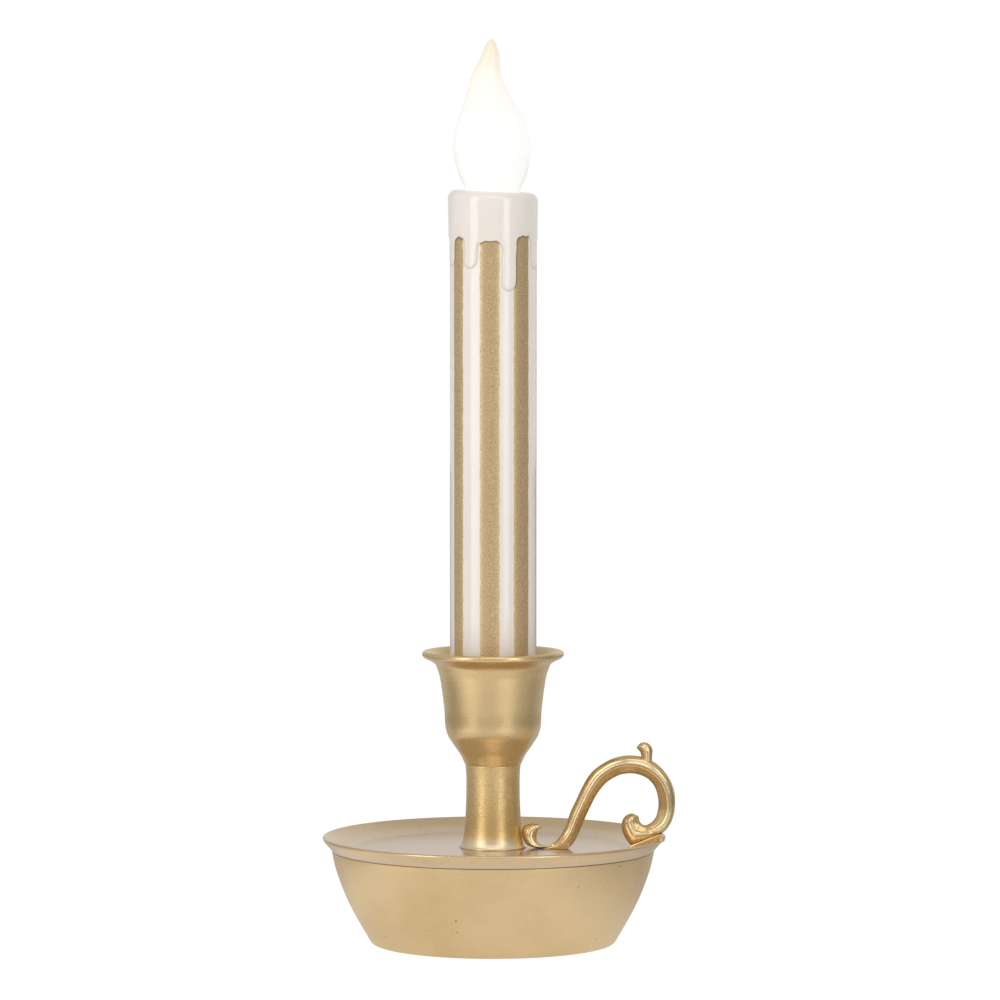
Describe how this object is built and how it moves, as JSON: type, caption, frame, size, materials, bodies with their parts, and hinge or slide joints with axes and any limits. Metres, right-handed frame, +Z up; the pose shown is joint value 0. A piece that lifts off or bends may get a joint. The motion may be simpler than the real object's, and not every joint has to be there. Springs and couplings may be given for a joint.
{
  "type": "led candlestick",
  "caption": "Battery-lit candle in a chamberstick: deep saucer base with a scroll finger handle, short stem, flared cup, gold-striped sleeve and a glowing flame with a bent tip.",
  "frame": {"origin": "middle of the footprint box, on the table under the rubber feet", "axes": "+Z up the candle, +X towards the handle, +Y away from the switch"},
  "size_m": [0.1034, 0.0992, 0.2627],
  "materials": {
    "gold_lacquer": "satin champagne-gold metallic lacquer",
    "cast_gold": "glossy gold-plated casting",
    "ivory_plastic": "smooth ivory with a soft gloss and gold stripes",
    "frosted_plastic": "frosted translucent, lit from inside",
    "black_plastic": "fine matt texture",
    "rubber": "matt",
    "steel": "nickel plated",
    "brass": "plain turned",
    "circuit_board": "green solder mask",
    "cell_wrap": "plain shrink wrap",
    "red_wire": "smooth sleeve",
    "black_wire": "smooth sleeve",
    "clear_resin": "clear"
  },
  "bodies": {
    "candlestick": {"saucer_bowl": "gold_lacquer", "drip_dish": "gold_lacquer", "base_plate": "black_plastic", "rubber_foot_1": "rubber", "rubber_foot_2": "rubber", "rubber_foot_3": "rubber", "rubber_foot_4": "rubber", "base_screw_1": "steel", "base_screw_2": "steel", "base_screw_3": "steel", "base_screw_4": "steel", "battery_cell_1": "cell_wrap", "battery_cell_2": "cell_wrap", "contact_positive": "steel", "contact_negative": "steel", "contact_bridge": "steel", "cell_spring_1": "steel", "cell_spring_2": "steel", "switch_body": "black_plastic", "driver_board": "circuit_board", "driver_chip": "black_plastic", "lead_positive": "red_wire", "lead_negative": "black_wire", "lamp_rod": "brass", "rod_nut_lower": "brass", "rod_washer_lower": "brass", "rod_washer_upper": "brass", "rod_nut_upper": "brass", "stem": "gold_lacquer", "candle_cup": "gold_lacquer", "candle_plug": "ivory_plastic", "candle_sleeve": "ivory_plastic", "lamp_holder": "ivory_plastic", "led_board": "circuit_board", "led": "clear_resin", "flame_diffuser": "frosted_plastic", "handle": "cast_gold", "handle_screw_inner": "steel", "handle_screw_outer": "steel"},
    "door": {"battery_door": "black_plastic"},
    "switch": {"switch_slider": "black_plastic"}
  },
  "joints": [
    {"name": "battery_door_hinge", "type": "hinge", "parent": "candlestick", "child": "door", "pos_m": [-0.02638, 0, 0.0017], "axis": [0, 1, 0], "range_deg": [0, 85]},
    {"name": "switch_slide", "type": "slide", "parent": "candlestick", "child": "switch", "axis": [1, 0, 0], "range_m": [0, 0.004]}
  ]
}
